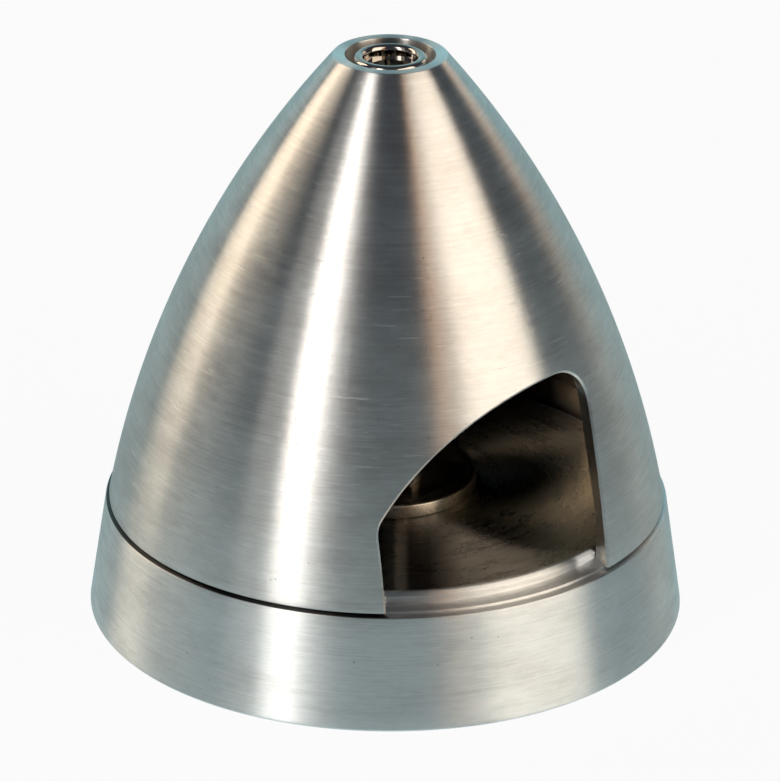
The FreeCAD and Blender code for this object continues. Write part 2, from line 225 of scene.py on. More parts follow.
def lathe_tree():
    group, tree, entry = new_geometry_tree("Lathe", LATHE_SIZES)
    columns = entry["Turns"] + 1.0
    grid = tree.node("GeometryNodeMeshGrid", {}, {
        "Size X": 1.0, "Size Y": 1.0, "Vertices X": columns, "Vertices Y": entry["Rows"]})
    index = tree.node("GeometryNodeInputIndex")
    column = (index / entry["Rows"]).math("FLOOR")
    row = index - column * entry["Rows"]
    position = tree.node("GeometryNodeInputPosition")
    sampling = {"data_type": "FLOAT_VECTOR", "domain": "POINT"}
    point = tree.node("GeometryNodeSampleIndex", sampling, {
        "Geometry": entry["Geometry"], "Value": position, "Index": row})
    split = tree.node("ShaderNodeSeparateXYZ", {}, {0: point})
    radius, height = split, Wire(tree, split.socket.node.outputs[2])
    angle = column / entry["Turns"] * math.tau
    turned_radius = radius - helical_groove(entry, height, angle) * entry["Depth"]
    placed = tree.node("ShaderNodeCombineXYZ", {}, {
        0: turned_radius * angle.math("COSINE"), 1: turned_radius * angle.math("SINE"), 2: height})
    bent = tree.node("GeometryNodeSetPosition", {}, {"Geometry": grid, "Position": placed})
    closed = tree.node("GeometryNodeMergeByDistance", {}, {"Geometry": bent, "Distance": SAME_PLACE})
    end_tree(group, tree, closed, entry["Material"])
    return group


LATHE = lathe_tree()


def apply_tree(piece, group, values):
    """Runs a tree on a piece and keeps the result as a plain mesh."""
    modifier = piece.modifiers.new(group.name, "NODES")
    modifier.node_group = group
    identifiers = {item.name: item.identifier for item in group.interface.items_tree
                   if item.item_type == "SOCKET" and item.in_out == "INPUT"}
    for name, value in values.items():
        modifier[identifiers[name]] = value
    piece.update_tag()
    bpy.context.view_layer.update()
    evaluated = piece.evaluated_get(bpy.context.evaluated_depsgraph_get())
    mesh = bpy.data.meshes.new_from_object(evaluated)
    piece.modifiers.remove(modifier)
    piece.data = mesh
    mesh.name = piece.name
    return piece


def new_piece(name, points, faces=(), edges=()):
    mesh = bpy.data.meshes.new(name)
    mesh.from_pydata([tuple(p) for p in points], edges, faces)
    piece = bpy.data.objects.new(name, mesh)
    scene.collection.objects.link(piece)
    return piece


def outward(mesh):
    """Points every face outwards on a closed mesh."""
    work = bmesh.new()
    work.from_mesh(mesh)
    bmesh.ops.remove_doubles(work, verts=work.verts, dist=SAME_PLACE)
    bmesh.ops.recalc_face_normals(work, faces=work.faces)
    work.to_mesh(mesh)
    work.free()


def smooth(piece, crease=28.0):
    """Shades faces smoothly across edges that turn less than crease degrees."""
    outward(piece.data)
    piece.data.shade_smooth()
    piece.data.set_sharp_from_angle(angle=math.radians(crease))


def lathe(name, section, material, turns=192, pitch=1.0, depth=0.0, thread=(0.0, 0.0)):
    """A turned piece from its section in millimetres, with a thread cut between two heights."""
    points = [(r * MM, 0.0, z * MM) for r, z in section]
    edges = [(i, i + 1) for i in range(len(points) - 1)]
    piece = new_piece(name, points, edges=edges)
    apply_tree(piece, LATHE, {
        "Turns": turns, "Rows": len(points), "Pitch": pitch * MM, "Depth": depth * MM,
        "Thread start": thread[0] * MM, "Thread end": thread[1] * MM, "Material": material})
    return piece


print("lathe tree:", len(LATHE.nodes), "nodes")


# %% [markdown]
# ## Finishes
#
# All the pieces are metal, but each was cut in its own way. A lathe tool leaves fine rings, and
# rings reflect a lamp as one long streak that crosses them. `turned_metal` builds that finish:
# the shader's anisotropy draws the streak, a noise that changes only along the height (or only
# with the radius, on a flat face) gives the rings, and sparse scratches, specks and a slow
# mottle keep the surface from looking like a drawing. The floor and the parts round the shaft
# are sheltered by the cone, so they have little of that wear.

# %% The finish builder
def finish_tree(name):
    material = bpy.data.materials.new(name)
    material.use_nodes = True
    material.node_tree.nodes.clear()
    return material, Tree(material.node_tree)


def millimetres(tree):
    """The object's own coordinates in millimetres, with the radius and the angle round the shaft."""
    place = tree.node("ShaderNodeTexCoord", output="Object")
    scaled = tree.node("ShaderNodeVectorMath", {"operation": "SCALE"}, {0: place, "Scale": 1 / MM})
    split = tree.node("ShaderNodeSeparateXYZ", {}, {0: scaled})
    x, y, z = (Wire(tree, output) for output in split.socket.node.outputs)
    radius = (x * x + y * y).math("SQRT")
    angle = y.math("ARCTAN2", x)
    return scaled, x, y, z, radius, angle


def noise(tree, vector, scale, detail=3.0, roughness=0.5):
    return tree.node("ShaderNodeTexNoise", {"noise_dimensions": "3D"}, {
        "Vector": vector, "Scale": scale, "Detail": detail, "Roughness": roughness})


def line_noise(tree, along, scale, detail=3.0, roughness=0.5):
    """A noise that changes along one number only."""
    return tree.node("ShaderNodeTexNoise", {"noise_dimensions": "1D"}, {
        "W": along, "Scale": scale, "Detail": detail, "Roughness": roughness})


def between(signal, low, high):
    """0 at low, 1 at high, a straight ramp from one to the other, and level past both ends."""
    return ((signal - low) / (high - low)).clamped()


def mix_colour(tree, factor, first, second):
    return tree.node("ShaderNodeMix", {"data_type": "RGBA"}, {0: factor, 6: first, 7: second}, 2)


def stretched(tree, x, y, along, around_scale, along_scale):
    """A place for looking up noise, with its own scale round the shaft and along it."""
    return tree.node("ShaderNodeCombineXYZ", {}, {
        0: x * around_scale, 1: y * around_scale, 2: along * along_scale})


def metal_marks(tree, x, y, along, ring_scale):
    """Rings, brush marks, fine grain and slow mottle, each from 0 to 1 round a middle of 0.5."""
    rings = line_noise(tree, along, ring_scale, 4.0, 0.7)
    brushed = noise(tree, stretched(tree, x, y, along, 0.22, 2.6), 1.0, 4.0, 0.65)
    grain = noise(tree, stretched(tree, x, y, along, 0.9, 5.0), 1.0, 3.0, 0.6)
    mottle = noise(tree, stretched(tree, x, y, along, 0.16, 0.35), 1.0, 4.0, 0.6)
    return rings, brushed, grain, mottle


# Each direction of scratch: its lean in radians, its scale, and how it is stretched.
SCRATCH_KINDS = [
    (0.35, 1.1, (0.16, 5.0, 1.0)), (-0.9, 0.9, (0.20, 6.0, 1.0)), (1.35, 1.3, (0.35, 6.5, 1.0))]
SCRATCH_START, SCRATCH_FULL = 0.71, 0.78
MEAN_RADIUS = 20.0


def scratches(tree, along, angle):
    """Sparse thin strokes that lean both ways across the rings."""
    unrolled = tree.node("ShaderNodeCombineXYZ", {}, {0: angle * MEAN_RADIUS, 1: along, 2: 0.0})
    strokes = None
    for lean, scale, stretch in SCRATCH_KINDS:
        leaning = tree.node("ShaderNodeMapping", {}, {
            "Vector": unrolled, "Rotation": (0.0, 0.0, lean), "Scale": stretch})
        stroke = between(noise(tree, leaning, scale, 1.0, 0.4), SCRATCH_START, SCRATCH_FULL)
        strokes = stroke if strokes is None else strokes.math("MAXIMUM", stroke)
    return strokes


def scaled_colour(tree, colour, factor):
    return tree.node("ShaderNodeVectorMath", {"operation": "SCALE"}, {0: colour, "Scale": factor})


def weighed(signals, weights):
    """How far each signal is from its middle, times its weight, all added up."""
    parts = [(signal - 0.5) * weight for signal, weight in zip(signals, weights)]
    total = parts[0]
    for part in parts[1:]:
        total = total + part
    return total


SHELTER_HEIGHT, SHELTER_SLOPE, SHELTER_EDGE = 11.0, 0.45, (21.0, 21.6)
SHELTERED_WEAR = 0.15
CONE_LEAN = 0.35
TINT_SHIFT = (0.97, 0.99, 1.0)
COLOUR_WEIGHTS = (0.26, 0.36, 0.22, 0.60)
RELIEF_WEIGHTS = (0.6, 0.7, 0.5)
ROUGHNESS_WEIGHTS = (0.10, 0.12)


def open_wear(z, radius):
    """1 on the cone and the outer rim, and little on the floor, the fasteners and the shaft."""
    outline = radius + (z - SHELTER_HEIGHT).math("MAXIMUM", 0.0) * SHELTER_SLOPE
    return between(outline, *SHELTER_EDGE) * (1 - SHELTERED_WEAR) + SHELTERED_WEAR


def turned_metal(name, colour, roughness, anisotropy, ring_scale=6.0, ring_depth=0.012, wear=1.0,
                 specks=0.3, speck_size=0.06, grit=0.0, shading=None):
    """Metal with the rings of a lathe tool, brush marks, mottle, scratches and specks."""
    material, tree = finish_tree(name)
    scaled, x, y, z, radius, angle = millimetres(tree)
    along = z + radius * CONE_LEAN
    rings, brushed, grain, mottle = metal_marks(tree, x, y, along, ring_scale)
    open_air = open_wear(z, radius)
    scratch = scratches(tree, along, angle) * open_air * wear
    cells = tree.node("ShaderNodeTexVoronoi", {}, {"Vector": scaled, "Scale": 0.5})
    speck = (1.0 - between(cells, speck_size * 0.6, speck_size)) * specks
    pits = between(noise(tree, scaled, 6.0, 2.0, 0.6), 0.52, 0.62) * grit

    shade = weighed((rings, brushed, grain, mottle), COLOUR_WEIGHTS) + 1.0
    shifted = [part * shift for part, shift in zip(colour, TINT_SHIFT)]
    tint = mix_colour(tree, between(mottle, 0.35, 0.65), (*colour, 1.0), (*shifted, 1.0))
    clean_share = (1.0 - speck) * (1.0 - pits * 0.8)
    base = scaled_colour(tree, tint, shade * clean_share * (1.0 + scratch * 0.25))
    rough = weighed((mottle, brushed), ROUGHNESS_WEIGHTS) + scratch * 0.10 + pits * 0.15 + roughness
    if shading:
        base, rough = shading(tree, base, rough, x, y, z, radius)
    relief = weighed((rings, brushed, grain), RELIEF_WEIGHTS) - scratch * 0.5 - speck - pits
    bump = tree.node("ShaderNodeBump", {}, {
        "Strength": 1.0, "Distance": ring_depth * MM, "Height": relief * open_air})
    shader = tree.node("ShaderNodeBsdfPrincipled", {}, {
        "Base Color": base, "Metallic": 1.0, "Roughness": rough, "Anisotropic": anisotropy,
        "Anisotropic Rotation": 0.25, "Normal": bump})
    tree.node("ShaderNodeOutputMaterial", {}, {0: shader})
    return material


# %% [markdown]
# ## Painted shade, painted reflections and painted highlights
#
# Painted shade and painted dark reflections darken some places in the base colour. A painted highlight
# and painted light leave others bright. Each place is given in the object's own coordinates, in
# millimetres: a radius, a height, and a distance along one level direction. That direction is square to
# the camera's view at rest. A pair of numbers that `between` takes says where a mark is absent and where
# it is full. A share is what is left of the colour's brightness.

# %% Where painted shade, painted reflections and painted highlights lie
CAMERA_AZIMUTH = math.radians(-25.8)
SIDEWAYS = (math.cos(CAMERA_AZIMUTH), math.sin(CAMERA_AZIMUTH))

# Painted shade in the seam between the cone and the rim: where it lies and how dark it is.
SEAM_SHADE_SIDE, BESIDE_OPENING = (17.0, 4.0), (10.0, 10.3)
SEAM_SHADE_BOTTOM, SEAM_SHADE_TOP, SEAM_SHADE_INSIDE = (9.68, 9.76), (10.08, 10.02), (22.0, 22.2)
THIN_SEAM_SHADE, SEAM_SHADE_RADIUS, SEAM_SHADE_GROWTH, SEAM_SHADE_SHARE = 0.25, 23.70, 0.34, 0.12
# A painted highlight on the flat ring at the nose.
NOSE_HIGHLIGHT_RING, NOSE_HIGHLIGHT_SHARE = (49.80, 49.86), 1.18

# The floor inside the cone: browner and smoother, with painted dark reflections on one side and beside
# the washer, and a streak of painted bright reflection.
FLOOR_EDGE, FLOOR_HEIGHT = (21.3, 21.0), (10.7, 10.8)
FLOOR_TINT, FLOOR_POLISH, DARK_REFLECTION_DEPTH = (1.0, 0.90, 0.78), 0.09, 0.88
DARK_REFLECTION_SIDE = (6.5, 3.6)
STREAK_PLACE, STREAK_EDGE, STREAK_LIGHTENING = 1.3, (0.7, 0.3), 0.3
DARK_PATCH_PLACE, DARK_PATCH_SPREAD, DARK_PATCH_EDGE = (9.8, 1.5), (34.0, 50.0), (1.15, 0.55)

# Painted shade inside the cone, and the area low on one side left bright as painted light.
LIT_WALL_SIDE, LIT_WALL_TOP, LIT_WALL_WANDER = (13.0, 17.5), (31.0, 23.0), 12.0
BORE_SHADE_LEAST, BORE_SHADE_GAIN = 0.025, 0.11
# A painted dark reflection on one side of the nut.
NUT_BRIGHT_SIDE, NUT_SHARE = (2.9, 2.4), 0.10
# A painted dark reflection on the washer's upper face.
WASHER_FACE, WASHER_BRIGHT_RIM, WASHER_SHARE = (12.02, 12.08), (7.5, 7.35), 0.25


def sideways(x, y):
    """The distance along the level direction that the marks are laid out on."""
    return x * SIDEWAYS[0] + y * SIDEWAYS[1]


def seam_painted_shade(tree, base, x, y, z, radius):
    """Painted shade in the gap where the cone meets the rim, thick on one side and thin on the other."""
    thick = between(sideways(x, y), *SEAM_SHADE_SIDE) * (1 - THIN_SEAM_SHADE) + THIN_SEAM_SHADE
    band = between(z, *SEAM_SHADE_BOTTOM) * between(z, *SEAM_SHADE_TOP)
    covered = between(x.math("ABSOLUTE"), *BESIDE_OPENING)
    reach = thick * SEAM_SHADE_GROWTH + SEAM_SHADE_RADIUS
    ring = between(radius, *SEAM_SHADE_INSIDE) * ((reach - radius) * 20.0).clamped()
    dark = scaled_colour(tree, base, SEAM_SHADE_SHARE)
    return mix_colour(tree, band * ring * thick * covered, base, dark)


def cone_shading(tree, base, rough, x, y, z, radius):
    """Painted shade in the seam, and a painted highlight that brightens the flat ring at the nose."""
    base = seam_painted_shade(tree, base, x, y, z, radius)
    bright = scaled_colour(tree, base, NOSE_HIGHLIGHT_SHARE)
    return mix_colour(tree, between(z, *NOSE_HIGHLIGHT_RING), base, bright), rough


def floor_dark_reflection(x, y):
    """1 where a dark reflection is painted on one side of the floor, and less along a streak of painted
    bright reflection.
    """
    across = sideways(x, y)
    streak = between((across - STREAK_PLACE).math("ABSOLUTE"), *STREAK_EDGE) * STREAK_LIGHTENING
    return between(across, *DARK_REFLECTION_SIDE) * (1.0 - streak)


def dark_reflection_patch(x, y):
    """1 in a painted dark reflection beside the washer."""
    across = sideways(x, y) - DARK_PATCH_PLACE[0]
    back = y * SIDEWAYS[0] - x * SIDEWAYS[1] - DARK_PATCH_PLACE[1]
    from_pool = (across * across / DARK_PATCH_SPREAD[0] + back * back / DARK_PATCH_SPREAD[1]).math("SQRT")
    return between(from_pool, *DARK_PATCH_EDGE)


def plate_shading(tree, base, rough, x, y, z, radius):
    """Painted shade in the seam, and a smoother, browner floor inside the cone with painted dark
    reflections on it.
    """
    base = seam_painted_shade(tree, base, x, y, z, radius)
    sheltered = between(radius, *FLOOR_EDGE) * between(z, *FLOOR_HEIGHT)
    dull = tree.node("ShaderNodeVectorMath", {"operation": "MULTIPLY"}, {0: base, 1: FLOOR_TINT})
    painted_dark = floor_dark_reflection(x, y).math("MAXIMUM", dark_reflection_patch(x, y))
    floor = scaled_colour(tree, dull, 1.0 - painted_dark * DARK_REFLECTION_DEPTH)
    return mix_colour(tree, sheltered, base, floor), rough - sheltered * FLOOR_POLISH


def bore_painted_shade(tree, base, rough, x, y, z, radius):
    """Painted shade darkens the inside of the cone, except low on one side, where the wall is left
    bright as painted light.
    """
    place = tree.node("ShaderNodeCombineXYZ", {}, {0: x, 1: y, 2: z})
    wander = (noise(tree, place, 0.12, 2.0) - 0.5) * LIT_WALL_WANDER
    lit_wall = between(sideways(x, y) + wander, *LIT_WALL_SIDE) * between(z, *LIT_WALL_TOP)
    bore_shade = between(noise(tree, place, 0.10, 3.0, 0.6), 0.40, 0.62) * BORE_SHADE_GAIN + BORE_SHADE_LEAST
    return mix_colour(tree, lit_wall, scaled_colour(tree, base, bore_shade), base), rough


def nut_dark_reflection(tree, base, rough, x, y, z, radius):
    """A painted dark reflection blackens one side of the nut."""
    bright_side = between(sideways(x, y), *NUT_BRIGHT_SIDE)
    return mix_colour(tree, bright_side, scaled_colour(tree, base, NUT_SHARE), base), rough


def washer_dark_reflection(tree, base, rough, x, y, z, radius):
    """A painted dark reflection darkens the washer's upper face between its bright rim and the nut."""
    covered = between(z, *WASHER_FACE) * between(radius, *WASHER_BRIGHT_RIM)
    return mix_colour(tree, covered, base, scaled_colour(tree, base, WASHER_SHARE)), rough


CONE_FINISH = turned_metal(
    "turned_cone_aluminium", (0.80, 0.79, 0.77), 0.32, 0.97, shading=cone_shading)
PLATE_FINISH = turned_metal(
    "turned_backplate_aluminium", (0.91, 0.915, 0.905), 0.37, 1.0, shading=plate_shading)
BORE_FINISH = turned_metal(
    "bored_cone_inside", (0.62, 0.52, 0.41), 0.30, 0.80, ring_scale=3.0, ring_depth=0.006,
    wear=0.1, specks=0.9, speck_size=0.10, shading=bore_painted_shade)
WASHER_FINISH = turned_metal(
    "washer_steel", (0.66, 0.61, 0.53), 0.33, 0.5, ring_scale=9.0, grit=0.45, shading=washer_dark_reflection)
NUT_FINISH = turned_metal(
    "nut_steel", (0.66, 0.57, 0.46), 0.22, 0.3, ring_depth=0.004, wear=0.5, shading=nut_dark_reflection)
SHAFT_FINISH = turned_metal(
    "shaft_steel", (0.46, 0.45, 0.43), 0.30, 0.4, ring_depth=0.004, wear=0.5)
SCREW_FINISH = turned_metal(
    "bright_plated_screw", (0.62, 0.58, 0.54), 0.08, 0.0, ring_scale=3.0, ring_depth=0.001, wear=0.2)
print("finishes:", len(bpy.data.materials))


# %% [markdown]
# ## The cone
#
# The outside of the cone is one long circular arc turned round the shaft. Cutting the openings
# with a boolean would leave ragged faces whose shading breaks the long reflections. Instead the
# mesh is woven to fit: round each opening, rows of faces run from the opening's edge out to a
# simple frame, and everything above that frame is plain lathe work.

# %% The ogive and the opening's outline
def ogive_centre():
    base, tip = Vector((CONE_BASE, SEAT)), Vector((CONE_NOSE, NOSE_TIP - NOSE_BREAK))
    chord = tip - base
    reach = math.sqrt(OGIVE_RADIUS ** 2 - (chord.length / 2) ** 2)
    return (base + tip) / 2 + Vector((-chord.y, chord.x)).normalized() * reach


OGIVE_CENTRE = ogive_centre()


def outer_radius(height):
    return OGIVE_CENTRE.x + math.sqrt(OGIVE_RADIUS ** 2 - (height - OGIVE_CENTRE.y) ** 2)


BORE_TOP = SEAT + 3.4
TAPER_MEETING = (BORE_TOP + WEB_UNDERSIDE) / 2
TAPER_BLEND, BLEND_SAMPLES = 3.5, 41


def on_inner_arc(height):
    radius = OGIVE_RADIUS - CONE_WALL
    return OGIVE_CENTRE.x + math.sqrt(radius ** 2 - (height - OGIVE_CENTRE.y) ** 2)


INNER_SECTION = [(SEAT, CONE_BORE), (BORE_TOP, CONE_BORE),
                 (TAPER_MEETING, on_inner_arc(TAPER_MEETING)),
                 (WEB_UNDERSIDE, on_inner_arc(WEB_UNDERSIDE))]


def inner_radius(height):
    """The bored inside. A short blend eases the corner where its two tapers meet."""
    heights, radii = zip(*INNER_SECTION)
    reach = TAPER_BLEND - abs(height - TAPER_MEETING)
    if reach < 0:
        return float(np.interp(height, heights, radii))
    near = height + np.linspace(-1, 1, BLEND_SAMPLES) * reach
    return sum(float(radius) for radius in np.interp(near, heights, radii)) / BLEND_SAMPLES


print("ogive centre:", tuple(round(c, 3) for c in OGIVE_CENTRE))

# %% The opening's outline, seen square on
HALF_WIDTH = 10.2
ARCH_RADIUS, ARCH_X, ARCH_Z = 20.5, 7.3, SEAT - 3.86
HIGH_CORNER, LOW_CORNER = 3.3, 2.6
EDGE_BREAK = 0.22
BASE_EASE = 0.12
EDGE_HEIGHTS = [0.0, 0.02, 0.06, BASE_EASE]
SIDE_STEPS, CORNER_STEPS, ARCH_STEPS = 22, 10, 96


def corner_height(x, corner):
    return ARCH_Z + math.sqrt((ARCH_RADIUS - corner) ** 2 - (x - ARCH_X) ** 2)


def climb(top, steps):
    """Heights from the seat up to top, close together at first for the eased base edge."""
    return [SEAT + h for h in EDGE_HEIGHTS] + list(np.linspace(SEAT + BASE_EASE, top, steps)[1:])


def arc(x, z, radius, start, end, steps):
    angles = np.radians(np.linspace(start, end, steps + 1))
    return [(x + radius * math.cos(a), z + radius * math.sin(a)) for a in angles]


def opening_outline(offset):
    """Points from the foot of the low side, over the arch, to the foot of the high side."""
    low_x, high_x = -HALF_WIDTH + LOW_CORNER, HALF_WIDTH - HIGH_CORNER
    low_z, high_z = corner_height(low_x, LOW_CORNER), corner_height(high_x, HIGH_CORNER)
    low_angle = math.degrees(math.atan2(low_z - ARCH_Z, low_x - ARCH_X))
    high_angle = math.degrees(math.atan2(high_z - ARCH_Z, high_x - ARCH_X))
    points = [(-HALF_WIDTH - offset, z) for z in climb(low_z, SIDE_STEPS)]
    points += arc(low_x, low_z, LOW_CORNER + offset, 180, low_angle, CORNER_STEPS)[1:]
    points += arc(ARCH_X, ARCH_Z, ARCH_RADIUS + offset, low_angle, high_angle, ARCH_STEPS)[1:]
    points += arc(high_x, high_z, HIGH_CORNER + offset, high_angle, 0, CORNER_STEPS)[1:]
    points += [(HALF_WIDTH + offset, z) for z in reversed(climb(high_z, SIDE_STEPS))][1:]
    return points


FRAME_TOP = 31.0
PATCH_STEPS, WALL_STEPS, UPPER_ROWS, INSIDE_ROWS = 40, 4, 36, 12
NOSE_EASE = 0.07


def frame_outline():
    """The frame round one opening as angle and height: up one quarter line, over, and down the other."""
    heights = climb(FRAME_TOP, SIDE_STEPS + CORNER_STEPS)
    quarter = math.pi / 2
    side = [(-quarter, z) for z in heights]
    top = [(angle, FRAME_TOP) for angle in np.linspace(-quarter, quarter, ARCH_STEPS + 1)]
    return side + top[1:] + [(quarter, z) for z in reversed(heights)][1:]


def eased_outer_radius(height):
    """The ogive, with its base edge rounded."""
    low = max(0.0, BASE_EASE - (height - SEAT))
    return outer_radius(height) - (BASE_EASE - math.sqrt(BASE_EASE ** 2 - low ** 2))


def round_shaft(radius, angle, height):
    """A point in metres. Angle 0 faces the middle of the front opening."""
    return (radius * math.sin(angle) * MM, -radius * math.cos(angle) * MM, height * MM)


def opening_patch(profile, offset):
    """The rows of points from an opening's edge out to its frame, on the wall that profile gives."""
    rows = []
    for (x, z), (far_angle, far_z) in zip(opening_outline(offset), frame_outline()):
        near_angle = math.asin(x / profile(z))
        steps = np.linspace(0.0, 1.0, PATCH_STEPS + 1)
        row = [(near_angle + (far_angle - near_angle) * t, z + (far_z - z) * t) for t in steps]
        rows.append([round_shaft(profile(height), angle, height) for angle, height in row])
    return rows


def half_turn(rows):
    return [[(-x, -y, z) for x, y, z in row] for row in rows]


class Weave:
    """Collects grids of points as one mesh."""

    def __init__(self):
        self.points, self.faces, self.finishes = [], [], []

    def add(self, rows, finish=0):
        first, width = len(self.points), len(rows[0])
        self.points += [p for row in rows for p in row]
        for i in range(len(rows) - 1):
            for j in range(width - 1):
                a = first + i * width + j
                self.faces.append((a, a + 1, a + width + 1, a + width))
                self.finishes.append(finish)


# %% Weave the cone
def cut_wall(inner_profile):
    """The opening's cut face, from the broken outer edge through to the inside."""
    rows = []
    shares = np.linspace(0, 1, WALL_STEPS + 1)
    for (x, z), (wide_x, wide_z) in zip(opening_outline(0.0), opening_outline(EDGE_BREAK)):
        wide_radius = eased_outer_radius(wide_z)
        outside = round_shaft(wide_radius, math.asin(wide_x / wide_radius), wide_z)
        front = -math.sqrt(eased_outer_radius(z) ** 2 - x ** 2) + EDGE_BREAK
        back = -math.sqrt(inner_profile(z) ** 2 - x ** 2)
        wall = [(x * MM, (front + (back - front) * t) * MM, z * MM) for t in shares]
        rows.append([outside, *wall])
    return rows


def full_turn_rows(section):
    """Lathe rows whose angles match the frames of both openings."""
    quarter = math.pi / 2
    angles = list(np.linspace(-quarter, quarter, ARCH_STEPS + 1))
    angles += [a + math.pi for a in angles[1:]]
    return [[round_shaft(r, a, z) for a in angles] for r, z in section]


def make_cone():
    weave = Weave()
    outer, inner = opening_patch(eased_outer_radius, EDGE_BREAK), opening_patch(inner_radius, 0.0)
    wall = cut_wall(inner_radius)
    for turn in (lambda rows: rows, half_turn):
        weave.add(turn(outer))
        weave.add(turn(inner), finish=1)
        weave.add(turn(wall))
        for end in (0, -1):
            weave.add(turn([outer[end], inner[end]]))
    upper_heights = np.linspace(FRAME_TOP, NOSE_TIP - NOSE_BREAK, UPPER_ROWS)
    upper = [(outer_radius(z), z) for z in upper_heights]
    nose = eased([(CONE_NOSE, NOSE_TIP - NOSE_BREAK), (CONE_NOSE - NOSE_BREAK, NOSE_TIP),
                  (HEAD_POCKET, NOSE_TIP), (HEAD_POCKET, HEAD_SEAT), (SCREW_HOLE, HEAD_SEAT),
                  (SCREW_HOLE, WEB_UNDERSIDE)], NOSE_EASE)
    inside = [(inner_radius(z), z) for z in np.linspace(WEB_UNDERSIDE, FRAME_TOP, INSIDE_ROWS)]
    weave.add(full_turn_rows(upper + nose[1:]))
    weave.add(full_turn_rows([nose[-1], *inside]), finish=1)
    piece = new_piece("cone_shell", weave.points, weave.faces)
    piece.data.materials.append(CONE_FINISH)
    piece.data.materials.append(BORE_FINISH)
    piece.data.polygons.foreach_set("material_index", weave.finishes)
    close_feet(piece)
    smooth(piece)
    return piece


def close_feet(piece):
    """Fills the small corners left between the broken edge and the base."""
    work = bmesh.new()
    work.from_mesh(piece.data)
    bmesh.ops.remove_doubles(work, verts=work.verts, dist=SAME_PLACE)
    bmesh.ops.holes_fill(work, edges=[e for e in work.edges if e.is_boundary], sides=8)
    print("cone: open edges left", sum(e.is_boundary for e in work.edges))
    work.to_mesh(piece.data)
    work.free()


cone = make_cone()
print("cone:", len(cone.data.polygons), "faces")


# %% [markdown]
# ## The backplate, washer and collet shaft
#
# These are plain lathe work. The backplate carries the flared rim, the seat and spigot that the
# cone drops on, and a recess behind, with the tapered hub bore that squeezes the collet. The
# collet shaft has a fine thread, and four saw cuts so that its taper can close on the motor
# shaft. The cuts repeat round the shaft, so a tree places them and takes them away.

# %% Backplate and washer
COLLET_FOOT, COLLET_LENGTH, COLLET_RADIUS, COLLET_DROP = 0.5, 8.6, 6.1, 1.4
COLLET_GAP = 0.01
SHAFT_HOLE = 4.1
PLATE_EASE, WASHER_EASE = 0.09, 0.14
PLATE_TURNS, WASHER_TURNS = 288, 128


def collet_radius(height):
    return COLLET_RADIUS - COLLET_DROP * (height - COLLET_FOOT) / COLLET_LENGTH


BACKPLATE_SECTION = [
    (23.0, 0.0), (25.25, 0.0), (25.5, 0.25), (24.05, 9.78), (23.2, 9.78), (23.2, SEAT),
    (21.7, SEAT), (21.7, 10.6), (21.4, FLOOR), (SHAFT_HOLE, FLOOR), (SHAFT_HOLE, 9.8),
    (collet_radius(9.8) + COLLET_GAP, 9.8), (collet_radius(1.6) + COLLET_GAP, 1.6),
    (9.0, 1.6), (9.0, 6.6), (20.6, 6.6), (20.6, 0.0), (23.0, 0.0)]
WASHER_SECTION = [(6.0, FLOOR), (7.7, FLOOR), (7.7, WASHER_TOP), (SHAFT_HOLE, WASHER_TOP),
                  (SHAFT_HOLE, FLOOR), (6.0, FLOOR)]

plate_points = subdivided(eased(BACKPLATE_SECTION, PLATE_EASE), 1.5)
backplate = lathe("backplate_turned", plate_points, PLATE_FINISH, turns=PLATE_TURNS)
washer = lathe("washer_ring", eased(WASHER_SECTION, WASHER_EASE), WASHER_FINISH, turns=WASHER_TURNS)
for piece in (backplate, washer):
    smooth(piece)
    print(piece.name, len(piece.data.polygons), "faces")


# %% Trees that cut with a repeated slot or a hexagon
def vector(tree, x, y, z):
    return tree.node("ShaderNodeCombineXYZ", {}, {0: x, 1: y, 2: z})


def slot_tree():
    sizes = [("Count", "Int"), ("Width", "Float"), ("Reach", "Float"), ("Length", "Float"),
             ("Material", "Material")]
    group, tree, entry = new_geometry_tree("Saw cuts", sizes)
    block = vector(tree, entry["Reach"], entry["Width"], entry["Length"])
    cutter = tree.node("GeometryNodeMeshCube", {}, {"Size": block})
    along = vector(tree, entry["Reach"] / 2.0, 0.0, 0.0)
    cutter = tree.node("GeometryNodeTransform", {}, {"Geometry": cutter, "Translation": along})
    spots = tree.node("GeometryNodeMeshLine", {}, {"Count": entry["Count"], "Offset": (0.0, 0.0, 0.0)})
    turn = tree.node("GeometryNodeInputIndex") * math.tau / entry["Count"]
    cutters = tree.node("GeometryNodeInstanceOnPoints", {}, {
        "Points": spots, "Instance": cutter, "Rotation": vector(tree, 0.0, 0.0, turn)})
    solid = tree.node("GeometryNodeRealizeInstances", {}, {0: cutters})
    cut = tree.node("GeometryNodeMeshBoolean", {"operation": "DIFFERENCE", "solver": "EXACT"}, {
        "Mesh 1": entry["Geometry"], "Mesh 2": solid})
    end_tree(group, tree, cut, entry["Material"])
    return group


def hexagon_tree(name, operation):
    sizes = [("Across flats", "Float"), ("Bottom", "Float"), ("Top", "Float"), ("Turn", "Float"),
             ("Material", "Material")]
    group, tree, entry = new_geometry_tree(name, sizes)
    prism = tree.node("GeometryNodeMeshCylinder", {"fill_type": "NGON"}, {
        "Vertices": 6, "Radius": entry["Across flats"] / math.sqrt(3),
        "Depth": entry["Top"] - entry["Bottom"]})
    middle = vector(tree, 0.0, 0.0, (entry["Top"] + entry["Bottom"]) / 2.0)
    turned = vector(tree, 0.0, 0.0, entry["Turn"])
    prism = tree.node("GeometryNodeTransform", {}, {
        "Geometry": prism, "Translation": middle, "Rotation": turned})
    cut = tree.node("GeometryNodeMeshBoolean", {"operation": operation, "solver": "EXACT"}, {
        "Mesh 2" if operation == "INTERSECT" else "Mesh 1": entry["Geometry"]})
    group.links.new(prism.socket, cut.socket.node.inputs["Mesh 2"])
    end_tree(group, tree, cut, entry["Material"])
    return group


